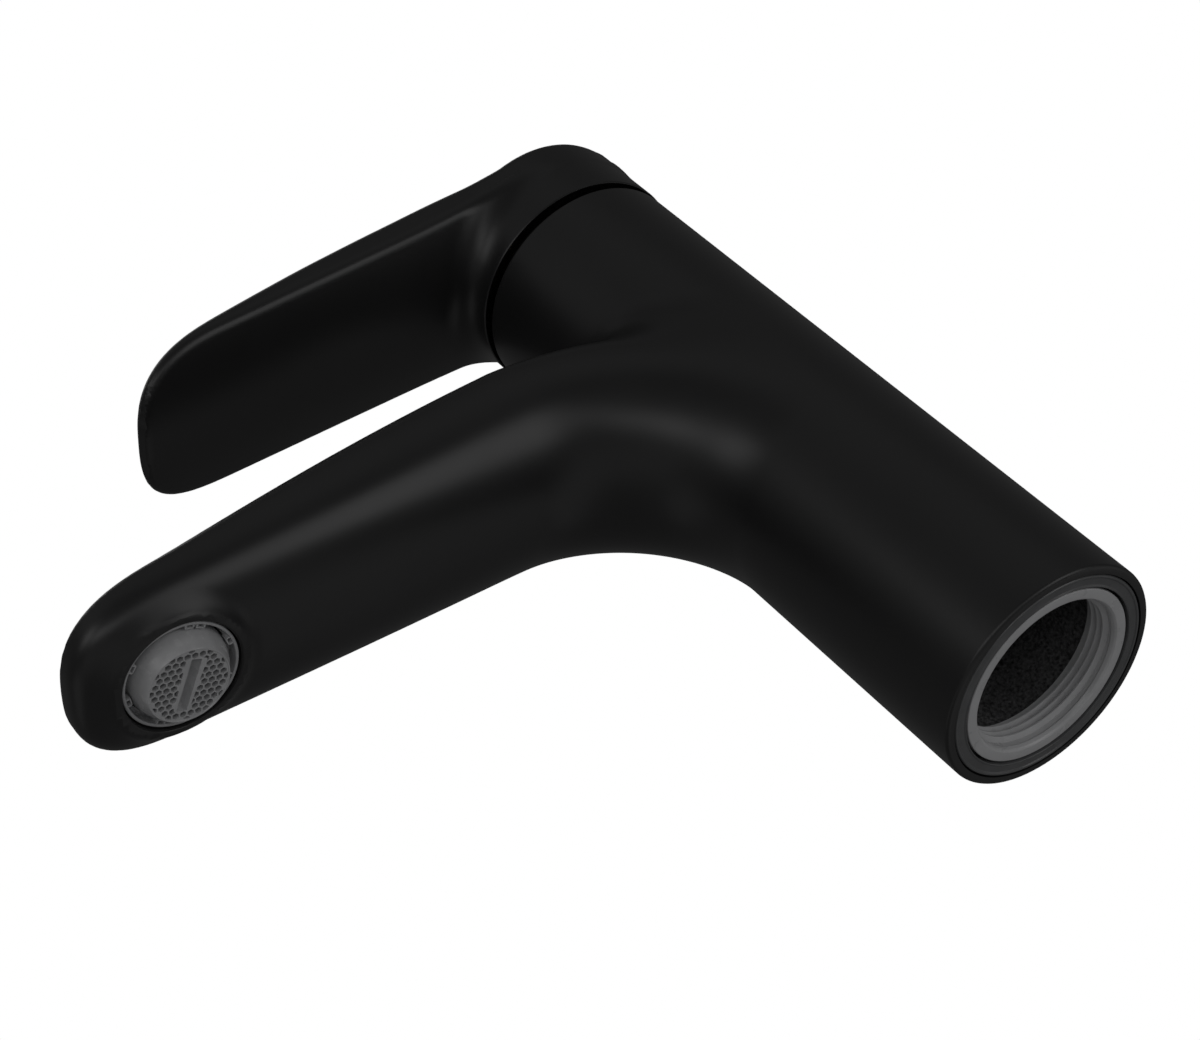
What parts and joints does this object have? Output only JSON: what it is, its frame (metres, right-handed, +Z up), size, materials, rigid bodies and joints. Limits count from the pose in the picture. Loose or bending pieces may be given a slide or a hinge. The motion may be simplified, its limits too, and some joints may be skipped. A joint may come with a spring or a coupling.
{
  "type": "bathroom mixer faucet",
  "caption": "single-lever basin mixer with a cylindrical body, a tapering cast spout, a flat lever on a ceramic-disc cartridge and a concealed swivel aerator",
  "frame": {"origin": "centre of the body's base plane, on the body's axis, where the faucet stands on the basin", "axes": "+Z up along the body's axis, -Y along the spout and the closed lever, X = 0 is the plane of symmetry"},
  "size_m": [0.0466, 0.1683, 0.1621],
  "materials": {
    "black_coating": "matte black coating over cast zinc alloy, very fine grain",
    "grey_rubber": "dark grey sealing rubber, smooth",
    "grey_plastic": "mid grey moulded plastic",
    "aerator_plastic": "mid grey moulded plastic, satin",
    "pale_plastic": "pale moulded acetal",
    "black_plastic": "black moulded plastic",
    "black_rubber": "black sealing rubber",
    "ceramic": "polished white alumina ceramic",
    "stainless": "bright stainless steel",
    "brass": "turned brass",
    "indicator": "satin grey plastic plug with no marks"
  },
  "bodies": {
    "body": {"body_shell": "black_coating", "base_seal": "grey_rubber", "thread_ring": "grey_plastic", "cartridge_base": "pale_plastic", "hot_seal": "black_rubber", "cold_seal": "black_rubber", "outlet_seal": "black_rubber", "cartridge_housing": "pale_plastic", "fixed_disc": "ceramic", "cartridge_nut": "brass", "limit_ring": "pale_plastic", "dome_cover": "black_plastic", "aerator_cage": "aerator_plastic", "strainer": "stainless", "aerator_gasket": "black_rubber"},
    "swivel": {"rotor": "pale_plastic", "pivot_pin": "stainless"},
    "lever": {"spindle": "brass", "handle": "black_coating", "grub_screw": "stainless", "indicator_plug": "indicator"},
    "disc_slide": {"moving_disc": "ceramic", "disc_carrier": "pale_plastic"},
    "aerator_swivel": {"aerator_ball": "aerator_plastic", "outlet_face": "aerator_plastic", "flow_regulator": "pale_plastic", "air_diffuser": "pale_plastic"}
  },
  "joints": [
    {"name": "temperature_swing", "type": "hinge", "parent": "body", "child": "swivel", "pos_m": [0, 0, 0.124], "axis": [0, 0, 1], "range_deg": [-45, 45]},
    {"name": "lever_lift", "type": "hinge", "parent": "swivel", "child": "lever", "pos_m": [0, 0, 0.124], "axis": [-1, 0, 0], "range_deg": [0, 25]},
    {"name": "disc_travel", "type": "slide", "parent": "swivel", "child": "disc_slide", "axis": [0, -1, 0], "range_m": [0, 0.0055]},
    {"name": "aerator_tilt", "type": "hinge", "parent": "body", "child": "aerator_swivel", "pos_m": [0, -0.12589, 0.0825], "axis": [1, 0, 0], "range_deg": [-7, 7]}
  ],
  "couplings": [
    {"joint": "disc_travel", "follows": "lever_lift", "m_per_rad": 0.0125}
  ]
}
